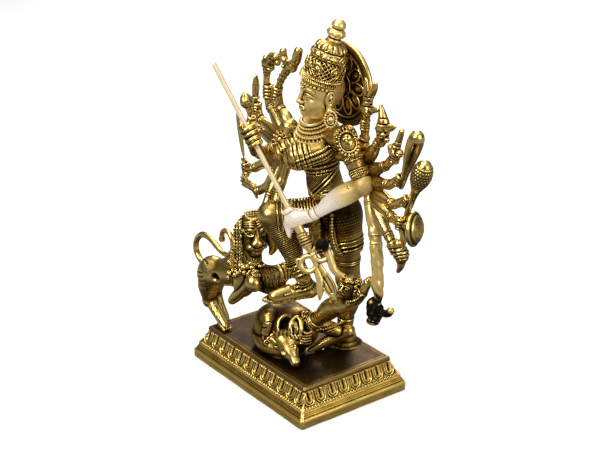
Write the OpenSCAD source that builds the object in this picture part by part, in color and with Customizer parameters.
// Many-armed goddess statuette on a stepped base, cast and assembled in brass.
// Millimetres. The origin is the centre of the base's underside, +Z up, the front faces -Y.

/* [Base] */
// Length of the base, side to side
base_l = 150; // [146:1:156]
// Depth of the base, front to back
base_w = 105; // [102:1:110]
// Height of the stepped plinth
plinth_h = 12.5; // [12:0.5:14]
// Height of the petal band
frieze_h = 12.5; // [12:0.5:14]
// Thickness of the deck plate
plate_t = 4; // [3.5:0.5:5]
// Wall around the hollow underside
base_wall = 12; // [10:0.5:14]
// Thickness of the rib across the middle of the hollow
rib_t = 10; // [6:1:12]

/* [Fasteners] */
// Radius of the studs under the feet
stud_r = 2; // [1.5:0.25:2]
// Clearance of the studs in the deck plate
stud_gap = 0.2; // [0.1:0.05:0.3]
// Width across flats of the stud nuts
nut_flats = 7; // [6:0.5:8]
// Thickness of the stud nuts
nut_h = 3; // [2.5:0.5:3.5]

/* [Spear] */
// Radius of the plain round shaft
shaft_r = 2; // [1.75:0.05:2.1]
// Radial clearance of the shaft in the hands and the socket
shaft_gap = 0.08; // [0.05:0.01:0.1]
// Length of the shaft down to the bottom of its socket
shaft_len = 155; // [145:1:155]

/* [Crown and halo] */
// Radius of the halo disc
halo_r = 33; // [30:1:35]
// Thickness of the halo disc
halo_t = 3.5; // [3:0.5:4]
// Radius of the crown's band
crown_r = 16; // [15.5:0.25:17]

/* [Hidden] */
$fn = 48;
deck_z = plinth_h + frieze_h + plate_t;
// The figures are placed for a deck 29 above the ground; a taller base lifts them.
lift = deck_z - 29;

// Spear: its butt end, and the point of the centre prong
spear_top = [-52, -41, 259];
spear_tip = [56, -6, 91.5];
spear_len = norm(spear_tip - spear_top);
spear_dir = (spear_tip - spear_top) / spear_len;
bore_r = shaft_r + shaft_gap;
// Turn of the trident's flat plane about the shaft
trident_turn = 150;

// Crown: centre of its band, and the way it leans
crown_base = [17.5, 8, 252];
crown_up = [9, 12, 48];

// Goddess: joints of the body
hip_c = [27, 20, 147];
waist_c = [15, 16, 166];
chest_c = [10, 12, 198];
neck_a = [11, 13, 212];
head_c = [19, 10, 243];
hip_l = [31, 23, 134];
knee_l = [31, 27, 90];
ankle_l = [24, 30, 42];
hip_r = [18, 12, 146];
knee_r = [-6, -20, 143];
ankle_r = [19, -9, 96];
shoulder_l = [41, 14, 214];
elbow_l = [62, 15, 182];
wrist_l = [30, -10, 152];
grip_l = 133;
shoulder_r = [-20, 5, 194];
elbow_r = [-31, -6, 182];
grip_r = 63;

// Stud places under the standing foot, the buffalo and the lion's hind foot
studs = [[23.5, 22], [14, -14], [-59, -33]];

// ---------- helpers ----------

module figure(tint) color(tint) translate([0, 0, lift]) children();

module ball(p, r) translate(p) sphere(r);

// Turns local +Z to the direction v
module face_along(v) rotate([0, acos(v.z / norm(v)), atan2(v.y, v.x)]) children();

// A tapered rod from a to b
module rod(a, b, ra, rb) translate(a) face_along(b - a) cylinder(h = norm(b - a), r1 = ra, r2 = rb);

// A tapered limb with a rounded end at b, and at a unless it is open
module limb(a, b, ra, rb, open = false) {
  rod(a, b, ra, rb);
  ball(b, rb * 1.06);
  if (!open) ball(a, ra * 1.06);
}

// A ring around the line from a to b, at the share t of its length
module band(a, b, t, r, h) {
  c = a + (b - a) * t;
  u = (b - a) / norm(b - a);
  rod(c - u * h / 2, c + u * h / 2, r, r);
}

// Local +Z runs down the spear from the share s of its length in mm
module on_spear(s, turn = trident_turn)
  translate(spear_top + spear_dir * s) face_along(spear_dir) rotate([0, 0, turn]) children();

module spear_bore(s0, s1) rod(spear_top + spear_dir * s0, spear_top + spear_dir * s1, bore_r, bore_r);

// Block with the side profile prof, pairs of [inset, height], mitred at the corners
module moulding(prof) {
  function side(w) = concat(
    [for (p = prof) [w / 2 - p.x, p.y]],
    [for (i = [len(prof) - 1:-1:0]) [prof[i].x - w / 2, prof[i].y]]
  );
  intersection() {
    rotate([90, 0, 0]) linear_extrude(base_w + 10, center = true) polygon(side(base_l));
    rotate([90, 0, 90]) linear_extrude(base_l + 10, center = true) polygon(side(base_w));
  }
}

// The two pockets of the hollow underside, on either side of the middle rib
module base_hollow(z0, z1) {
  pocket_l = base_l / 2 - base_wall - rib_t / 2;
  for (side = [-1, 1])
    translate([side * (rib_t + pocket_l) / 2, 0, (z0 + z1) / 2])
      cube([pocket_l, base_w - 2 * base_wall, z1 - z0], center = true);
}

// A short arm of the fan: elbow, wrist, bracelet, hand and a curled finger row
module fan_arm(elbow, wrist, hand, r = 4) {
  rod(elbow, wrist, r, r * 0.78);
  ball(wrist, r * 0.84);
  band(elbow, wrist, 0.84, r * 1.12, 3);
  rod(wrist, hand, r * 0.74, r * 0.9);
  ball(hand, r * 1.08);
}

// ---------- base ----------

module base_plinth() color("#a67c32") difference() {
  moulding([[0, 0], [0, 7], [3, plinth_h - 0.7], [3, plinth_h]]);
  base_hollow(-1, plinth_h + 1);
}

module lotus_frieze() color("#b08a38") difference() {
  translate([0, 0, plinth_h])
    moulding([[3.5, 0], [4.5, 2], [6.5, frieze_h * 0.45], [8.5, frieze_h * 0.78], [9.5, frieze_h]]);
  base_hollow(plinth_h - 1, deck_z);
}

module deck_plate() color("#6b5223") difference() {
  translate([0, 0, deck_z - plate_t])
    moulding([[10, 0], [9.2, 1], [9.2, plate_t - 1.2], [10.4, plate_t]]);
  for (p = studs)
    translate([p.x, p.y, deck_z - plate_t - 1]) cylinder(h = plate_t + 2, r = stud_r + stud_gap);
}

module foot_studs() color("#8d8f8a")
  for (p = studs) translate([p.x, p.y, deck_z - plate_t - nut_h - 2])
    cylinder(h = plate_t + nut_h + 5, r = stud_r);

module stud_nuts() color("#9a9c96")
  for (p = studs) translate([p.x, p.y, deck_z - plate_t - nut_h]) difference() {
    cylinder(h = nut_h, r = nut_flats / sqrt(3), $fn = 6);
    translate([0, 0, -1]) cylinder(h = nut_h + 2, r = stud_r);
  }

// ---------- lion ----------

module lion_body() figure("#b8923c") {
  rump = [-64, -34, 74];
  chest = [-26, -27, 88];
  limb(rump, chest, 11, 12);
  ball([-68, -35, 68], 13);
  limb([-66, -35, 66], [-66, -34, 48], 11, 7.4);
  limb([-66, -34, 48], [-64, -32, 38], 6.6, 4);
  limb([-64, -32, 37], [-54, -34, 32.6], 4.6, 3.4);
  limb([-26, -29, 84], [-43, -33, 59], 9, 5);
  limb(chest, [6, -18, 99], 9, 5);
  ball([8, -18, 100], 6.5);
  limb(chest, [-12, -20, 78], 10, 6);
}

module lion_head() figure("#8f6d2a") {
  rod([-25, -27, 94], [-33, -24, 112], 10, 12);
  ball([-34, -23, 116], 15);
  ball([-29, -21, 128], 9);
  rod([-33, -24, 116], [-20, -33, 114], 9, 5.5);
  ball([-20, -33, 114], 5.9);
  rod([-30, -24, 108], [-20, -31, 106], 6, 3.5);
}

module lion_tail() figure("#b08a38") {
  pts = [[-70, -36, 78], [-84, -36, 82], [-89, -36, 92], [-84, -36, 101], [-74, -36, 105],
         [-62, -36, 101], [-53, -35, 104], [-56, -34, 112], [-49, -34, 118], [-41, -34, 115],
         [-41, -34, 109]];
  for (i = [0:len(pts) - 2]) {
    rod(pts[i], pts[i + 1], i < 1 ? 3 : 1.9, 1.9);
    ball(pts[i + 1], 2.6);
  }
}

// ---------- buffalo and demon ----------

module buffalo_body() figure("#9c7830") {
  ball([-6, -18, 48], 19);
  ball([14, -12, 52], 19);
  limb([-12, -24, 36], [20, -24, 35.2], 6.6, 5.8);
  limb([10, -24, 58], [22, -26, 44], 7, 6);
  limb([14, -32, 44], [2, -36, 36], 4, 3);
  rod([4, -16, 29], [4, -16, 40], 17, 15);
}

module buffalo_head() figure("#a9832f") {
  rod([27, -22, 49], [34, -30, 35], 9, 4.6);
  ball([27, -22, 49], 9.3);
  ball([34, -30, 35], 4.9);
  rod([26, -24, 54], [33, -26, 57], 2.2, 1.2);
  rod([20, -29, 50], [14, -33, 55], 2.2, 1.2);
}

module demon_body() figure("#b38c3a") {
  limb([25, -4, 57], [50, 0, 79], 9, 9.5);
  ball([52, 2, 80], 11);
  limb([52, -2, 84], [68, 4, 92], 5.4, 4.4);
  limb([68, 4, 92], [77, 9, 108], 4.2, 3);
  ball([77, 9, 110], 3.8);
  limb([40, -6, 72], [29, -12, 62], 4.4, 3.4);
}

module demon_head() figure("#7d5f26") {
  ball([64, 0, 102], 8.6);
  ball([67, 4, 106], 6.4);
  rod([60, 0, 90], [63, 0, 97], 4.2, 5);
  ball([58, -5, 101], 3);
}

// ---------- goddess: legs and body ----------

module standing_leg() figure("#b8923c") {
  limb(hip_l, knee_l, 13, 9.5);
  limb(knee_l, ankle_l, 9.3, 5.6);
  band(knee_l, ankle_l, 0.9, 7.4, 4);
  rod([24, 32, 35.6], [23, 12, 33.6], 5.8, 4);
  ball([24, 32, 36], 6.8);
  rod([23, 13, 33.6], [22.6, 4, 32.2], 4.4, 3.2);
  ball([22.6, 4, 32.4], 3.5);
}

module raised_leg() figure("#b8923c") {
  limb(hip_r, knee_r, 13, 10.5);
  limb(knee_r, ankle_r, 10, 5.6);
  band(knee_r, ankle_r, 0.9, 7.4, 5);
  rod([19, -4, 84], [9, -28, 81], 6.2, 5);
  ball([19, -4, 84.2], 6.6);
  ball([9, -28, 81], 5.2);
  rod([9, -28, 81], [6, -36, 79], 5, 3.4);
  ball([6, -36, 79], 3.5);
  rod(ankle_r, [18, -6, 86], 5.6, 6.3);
}

module hips_skirt() figure("#a67f33") {
  ball(hip_c, 18);
  rod(hip_c, waist_c, 17, 13.5);
  rod([30, 21, 141], [33, 24, 118], 16, 13);
  rod([20, 6, 147], [24, 0, 124], 6, 4);
  ball([24, 0, 123.6], 4.4);
  rod([24, 0, 124], [27, 6, 112], 4, 3);
}

module torso() figure("#ad8636") {
  limb(waist_c, chest_c, 13.6, 15.5);
  rod(chest_c, neck_a, 14.5, 9);
  limb([-15, 6, 200], [35, 14, 211], 8, 8.8);
  limb([27, 7, 201], [13, -5, 197.5], 10.6, 8.4);
  limb([2, 6, 197], [-4, -7, 194], 9.6, 7.8);
}

module necklace() figure("#c39b41") {
  translate([11, 11, 217]) rotate([16, 0, 0]) rotate_extrude() translate([10, 0]) circle(2.4, $fn = 24);
  translate([11, 9, 210]) rotate([22, 0, 0]) rotate_extrude() translate([14.6, 0]) circle(2.6, $fn = 24);
}

// ---------- goddess: head, crown and halo ----------

module head() figure("#c9a04a") {
  rod([11, 13, 210], [15, 10, 233], 7.6, 7.2);
  ball(head_c, 15.4);
  rod(head_c + [-1, -3, -1], head_c + [-5, -11, -12], 12.6, 6.2);
  ball(head_c + [-5, -11, -12], 6.8);
  rod(head_c + [-5, -15, 0], head_c + [-7, -20.4, -4.6], 2, 2.6);
}

module crown() figure("#a67f33") translate(crown_base) face_along(crown_up)
  rotate_extrude() polygon([
    [0, 0], [crown_r, 0], [crown_r + 1, 2], [crown_r, 5.2], [14.6, 10.6], [13.4, 15],
    [13.4, 21.6], [11.8, 23.6], [11.4, 28.8], [9.6, 32], [6, 33.6], [0, 34]
  ]);

module crown_finial() figure("#c9a04a") translate(crown_base) face_along(crown_up)
  rotate_extrude() polygon([
    [0, 33], [4.2, 33], [6.4, 35.4], [6.2, 37.4], [3.8, 38.8], [7, 41], [7.6, 43.6],
    [6, 46.4], [3, 47.6], [2.6, 49], [0, 50.6]
  ]);

module halo_disc() figure("#8f6d2a") {
  translate([19.5, 30, 247]) rotate([90, 0, 0]) difference() {
    cylinder(h = halo_t, r = halo_r, center = true);
    translate([0, 0, halo_t / 2 - 0.8]) cylinder(h = 2, r = halo_r - 6);
  }
}

module halo_stud() figure("#8d6f2e") {
  rod([18, 16, 247], [19.5, 29.8, 247], 5, 4);
}

module earrings() figure("#c9a04a") {
  for (side = [-1, 1]) {
    ball([20 + side * 17, 11.5 - side * 4, 231.5], 4.8);
    ball([20 + side * 15.4, 11.2 - side * 4, 238.4], 3.2);
  }
}

// ---------- goddess: the two arms that hold the spear ----------

module left_upper_arm() figure("#b8923c") {
  limb(shoulder_l, elbow_l, 8.7, 6.4);
  band(shoulder_l, elbow_l, 0.66, 9, 5);
}

module left_spear_forearm() figure("#e2c08e") difference() {
  union() {
    limb(elbow_l, wrist_l, 6.6, 4.2);
    band(elbow_l, wrist_l, 0.9, 5.6, 4);
    rod(wrist_l, spear_top + spear_dir * grip_l, 4, 5.4);
    ball(spear_top + spear_dir * grip_l, 7);
    limb([15, -20, 146], [13, -18, 134], 3.6, 2.8);
    limb([20, -22, 145], [18, -22, 134], 3.4, 2.6);
  }
  spear_bore(grip_l - 20, grip_l + 20);
}

module elbow_rivet() figure("#6b5223") {
  rod([52.5, 14, 177.6], [57.5, 4, 180.8], 1.6, 1.6);
}

module right_upper_arm() figure("#b08a38") {
  limb(shoulder_r, elbow_r, 8.4, 6.6);
  ball([-17, 0.5, 196.5], 9.4);
}

module right_spear_forearm() figure("#b8923c") difference() {
  union() {
    limb(elbow_r, [-21, -24, 193], 6.2, 4.6);
    band(elbow_r, [-21, -24, 193], 0.72, 7, 4);
    on_spear(grip_r - 9, 0) cylinder(h = 22, r = 7.4);
    ball(spear_top + spear_dir * (grip_r - 8), 7);
  }
  spear_bore(grip_r - 30, grip_r + 30);
}

// ---------- goddess: the fan of smaller arms ----------

module left_fan_bracket() figure("#7d5f26") {
  limb([40, 26, 202], [60, 24, 180], 8, 8.6);
  limb([60, 24, 180], [64, 22, 170], 8, 6);
  rod([28, 20, 196], [44, 26, 198], 7, 6);
}

module right_fan_bracket() figure("#7d5f26") {
  limb([-28, 13, 202], [-42, 14, 176], 8, 8.6);
  limb([-42, 14, 176], [-42, 13, 164], 8, 5.4);
  rod([-14, 11, 193], [-32, 14, 190], 7, 6);
}

module left_arm_1_forked_bud() figure("#b08a38") {
  fan_arm([46, 26, 203], [49.5, 26, 214], [50.5, 25, 224.5]);
  rod([51, 25, 226], [54, 24, 246], 2.6, 3);
  ball([53.5, 24, 238], 4.6);
  ball([54, 24, 246], 3.4);
  rod([54, 24, 246], [52, 24, 254], 2.4, 1.2);
  rod([54, 24, 246], [63, 24, 257.5], 2.4, 1.2);
  rod([53.5, 24, 238], [66, 24, 241], 2.4, 1.4);
}

module left_arm_2_thunderbolt() figure("#b8923c") {
  fan_arm([54, 25, 196], [67, 25, 216], [71.5, 24, 224]);
  limb([71.5, 24, 224], [71, 23, 236], 3.2, 4, true);
  rod([71, 23, 236], [71, 23, 246], 4, 1);
  rod([72, 24, 226], [87.5, 23, 233], 3, 1.8);
  ball([87.5, 23, 233], 2);
  rod([71.5, 24, 224], [66, 23, 227], 3, 2.4);
  ball([66, 23, 227], 2.8);
}

module left_arm_3_arrow() figure("#b8923c") {
  fan_arm([58, 24, 189], [77, 24, 200], [88, 23, 210.5]);
  limb([88, 23, 212], [87, 22, 219], 2.2, 1.6, true);
  limb([91, 23, 212], [94, 22, 220.5], 2.2, 1.6, true);
  rod([84, 23, 203], [96, 22, 233], 1.6, 1.6);
  rod([96, 22, 232], [97.6, 22, 237], 2.4, 0.8);
}

module left_arm_4_mace() figure("#c39b41") {
  fan_arm([60, 22, 182], [85, 21, 188], [94, 20, 195]);
  rod([94.5, 20, 186], [110, 20, 212], 2, 2);
  limb([110, 20, 212], [116, 20, 227], 2.6, 5.8);
  ball([115.6, 20, 230.4], 5.2);
}

module left_arm_5_conch() figure("#b08a38") {
  fan_arm([64, 22, 176], [91.5, 20, 174.5], [106.5, 19, 183], 4.3);
  limb([101, 19, 167.5], [117, 19, 194], 2.4, 3, true);
  limb([117, 19, 194], [122, 19, 205], 2.8, 7, true);
  limb([122, 19, 205], [125, 19, 216], 6.8, 4, true);
}

module left_arm_6_shield() figure("#b08a38") {
  fan_arm([66, 21, 172], [93, 18, 164.5], [103, 17, 164.5], 4.3);
  translate([114, 17, 165]) rotate([0, 90, 8]) cylinder(h = 5, r = 12, center = true);
  rod([104, 17, 164.5], [119, 17, 165.4], 3.6, 3.6);
  rod([105, 17, 163], [107.5, 17, 148], 2.4, 1.6);
}

module left_arm_7_bell() figure("#a67f33") {
  fan_arm([68, 20, 168], [92.5, 16, 149], [98.5, 15, 143.5], 4.3);
  limb([99, 15, 144], [104.5, 15, 138], 3, 5.6, true);
  rod([104.5, 15, 138], [104.5, 15, 132], 5, 3.4);
  rod([104.5, 15, 133], [104.4, 15, 127.7], 2.4, 1);
}

module left_arm_8_tassel() figure("#c9a04a") {
  limb([64, 20, 172], [75.5, 16, 148], 5.6, 5);
  rod([75.5, 16, 148], [79.3, 14, 137.5], 4.8, 3.8);
  band([75.5, 16, 148], [79.3, 14, 137.5], 0.85, 5, 3.6);
  rod([79.3, 14, 137.5], [82, 13, 130.5], 3.4, 4);
  ball([82, 13, 130], 4.6);
  limb([82, 13, 130], [85, 12, 113], 4.4, 5, true);
  limb([85, 12, 113], [87, 12, 101], 4.6, 5, true);
  rod([86.6, 12, 102], [83, 10, 93], 4, 4.6);
  ball([83, 10, 92.4], 5.4);
  ball([82.8, 10, 84.8], 5.6);
  rod([82.8, 10, 85], [82, 10, 76.7], 3.6, 4.8);
  rod([86, 12, 98], [100, 12, 92.6], 2.6, 1.8);
  ball([100, 12, 92.4], 2.3);
}

module right_arm_1_stalk() figure("#b08a38") {
  fan_arm([-29, 13, 205], [-42.5, 14, 214], [-46, 14, 223]);
  limb([-46, 14, 224], [-42.5, 14, 235], 2.6, 2.4, true);
  limb([-42.5, 14, 235], [-30.6, 14, 247], 2.4, 2.6, true);
  limb([-30.6, 14, 247], [-26, 14, 255], 2.4, 3.4, true);
  rod([-26, 14, 255], [-19, 14, 268], 2.6, 1.4);
}

module right_arm_2_bowl() figure("#b08a38") {
  fan_arm([-35, 13, 197], [-56, 14, 212], [-58.8, 14, 220.5]);
  limb([-59, 14, 221], [-60, 14, 230], 2.8, 2.8, true);
  limb([-60, 14, 230], [-58.4, 14, 241.5], 2.5, 2.5, true);
  rod([-58.8, 14, 239.5], [-54, 14, 248], 3, 5.6);
  ball([-54, 14, 248.6], 6.3);
  ball([-47.6, 14, 255.7], 4.1);
  rod([-53, 14, 250], [-47.6, 14, 255.7], 3.4, 3);
  rod([-47.6, 14, 255.7], [-35.7, 14, 263.4], 2.4, 1.4);
}

module right_arm_3_dagger() figure("#a67f33") {
  fan_arm([-38, 13, 191], [-68.5, 14, 197], [-72.5, 14, 205.5]);
  rod([-75, 14, 201], [-75, 14, 213], 1.8, 1.8);
  rod([-75, 14, 213], [-73.6, 14, 233], 2.6, 1);
  translate([-75, 14, 212]) cube([7, 3, 1.6], center = true);
}

module right_arm_4_lotus() figure("#c39b41") {
  rod([-41, 13, 184], [-72, 14, 187], 4, 3.2);
  band([-41, 13, 184], [-70, 14, 187], 0.84, 4.5, 3);
  rod([-68, 14, 186], [-81, 14, 192], 2.6, 3.6);
  rod([-79.4, 14, 188.4], [-87, 14, 204], 3.9, 2.6);
  rod([-86.2, 14, 201], [-87.6, 14, 207], 3, 5);
  rod([-87.6, 14, 206.9], [-87.8, 14, 214.5], 4.8, 0.9);
}

module right_arm_6_sword() figure("#b08a38") {
  fan_arm([-42, 14, 174], [-75, 12, 153], [-85, 11, 150], 4.3);
  rod([-84, 11, 143], [-87, 10.5, 158], 2, 2);
  rod([-87, 10.5, 158], [-95.4, 10, 195.5], 2.8, 1.2);
}

module right_arm_7_open_hand() figure("#b08a38") {
  limb([-42, 13, 166], [-56, 12, 143], 4.6, 4, true);
  limb([-56, 12, 143], [-68, 11, 135.5], 3.8, 3.2, true);
  rod([-68, 11, 135.5], [-82.6, 10, 138], 3, 3.6);
  ball([-82.6, 10, 138], 3.9);
  rod([-82.6, 10, 138], [-87.5, 10, 143], 2.6, 1.6);
  rod([-68, 11, 135.5], [-70, 11, 129], 2.6, 1.6);
}

module right_arm_8_low_hand() figure("#a67f33") {
  limb([-35, 11, 172], [-34, 1, 152], 5, 4, true);
  limb([-34, 1, 152], [-31, -9, 139], 3.8, 3.8, true);
  rod([-31, -9, 139], [-27, -13, 136], 3.4, 2);
}

module right_arm_9_hip_hand() figure("#a67f33") {
  limb([-20, 7, 182], [-20, -1, 162], 5, 4.4, true);
  limb([-20, -1, 162], [-18, -7, 150], 4.2, 3.6, true);
}

// ---------- spear ----------

module trident_head() figure("#c9a04a") difference() {
  on_spear(0) {
    translate([0, 0, 138]) cylinder(h = 10, r1 = 3.4, r2 = 3.4);
    translate([0, 0, 147]) cylinder(h = 10.5, r1 = 4, r2 = 4.4);
    translate([0, 0, 157]) cylinder(h = 7, r1 = 3.4, r2 = 4);
    translate([0, 0, 163]) cylinder(h = 19, r1 = 2.6, r2 = 4.4);
    translate([0, 0, 181]) cylinder(h = 12, r1 = 4.2, r2 = 3.2);
    translate([0, 0, 192]) cylinder(h = spear_len - 192, r1 = 3.4, r2 = 0.8);
    prong_loop(-6, 169.5);
    prong_loop(6.4, 166.5);
    rod([10.4, 0, 168], [8.4, 0, 180], 2.2, 2.6);
    ball([8.4, 0, 180], 2.7);
    rod([8.4, 0, 180], [11.7, 0, 192], 2.5, 1);
    rod([1, 0, 181], [8.4, 0, 180], 2.8, 2.5);
    rod([-1, 0, 183], [-6, 0, 190], 2.8, 2.2);
    ball([-6, 0, 190], 2.35);
    rod([-6, 0, 190], [-10.7, 0, 197.5], 2.2, 0.9);
  }
  spear_bore(130, shaft_len);
}

// Open loop of the trident: a flat ring around the shaft's side
module prong_loop(x, z) translate([x, 0, z]) rotate([90, 0, 0]) difference() {
  cylinder(h = 4, r = 7.2, center = true);
  cylinder(h = 6, r = 4.2, center = true);
}

module spear_shaft() figure("#dcc9a0")
  rod(spear_top, spear_top + spear_dir * shaft_len, shaft_r, shaft_r);

base_plinth();
lotus_frieze();
deck_plate();
foot_studs();
stud_nuts();
lion_body();
lion_head();
lion_tail();
buffalo_body();
buffalo_head();
demon_body();
demon_head();
standing_leg();
raised_leg();
hips_skirt();
torso();
necklace();
head();
crown();
crown_finial();
halo_disc();
halo_stud();
earrings();
left_upper_arm();
left_spear_forearm();
elbow_rivet();
right_upper_arm();
right_spear_forearm();
left_fan_bracket();
right_fan_bracket();
left_arm_1_forked_bud();
left_arm_2_thunderbolt();
left_arm_3_arrow();
left_arm_4_mace();
left_arm_5_conch();
left_arm_6_shield();
left_arm_7_bell();
left_arm_8_tassel();
right_arm_1_stalk();
right_arm_2_bowl();
right_arm_3_dagger();
right_arm_4_lotus();
right_arm_6_sword();
right_arm_7_open_hand();
right_arm_8_low_hand();
right_arm_9_hip_hand();
trident_head();
spear_shaft();
